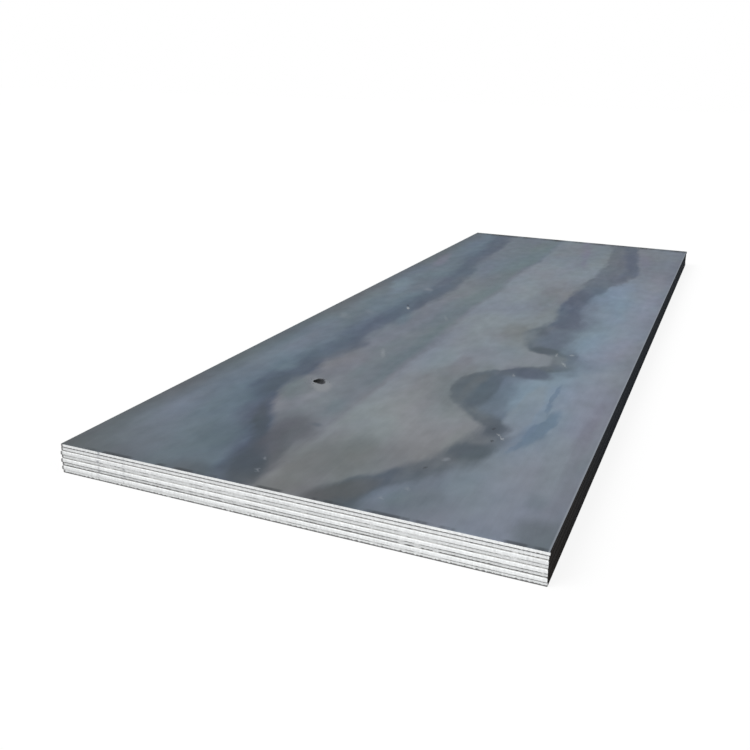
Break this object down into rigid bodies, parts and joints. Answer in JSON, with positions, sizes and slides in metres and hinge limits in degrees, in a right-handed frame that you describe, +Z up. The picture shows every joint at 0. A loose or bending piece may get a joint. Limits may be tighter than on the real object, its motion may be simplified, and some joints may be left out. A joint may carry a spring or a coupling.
{
  "type": "steel plate stack",
  "caption": "Squared stack of hot-rolled steel plates with bright sheared ends, rounded rolled long edges and a lifting hole burnt through the top plate.",
  "frame": {"origin": "centre of the stack's footprint, on the floor", "axes": "+X across the plates, +Y along their length away from the end seen in the picture, +Z up"},
  "size_m": [2.004, 6.008, 0.1308],
  "materials": {
    "mill_scale_steel": "blue-grey mill scale on the rolled faces, bright bare metal on the sheared ends"
  },
  "bodies": {
    "root": {"top_plate": "mill_scale_steel", "second_plate": "mill_scale_steel", "third_plate": "mill_scale_steel", "fourth_plate": "mill_scale_steel", "fifth_plate": "mill_scale_steel", "sixth_plate": "mill_scale_steel", "seventh_plate": "mill_scale_steel", "bottom_plate": "mill_scale_steel"}
  },
  "joints": []
}
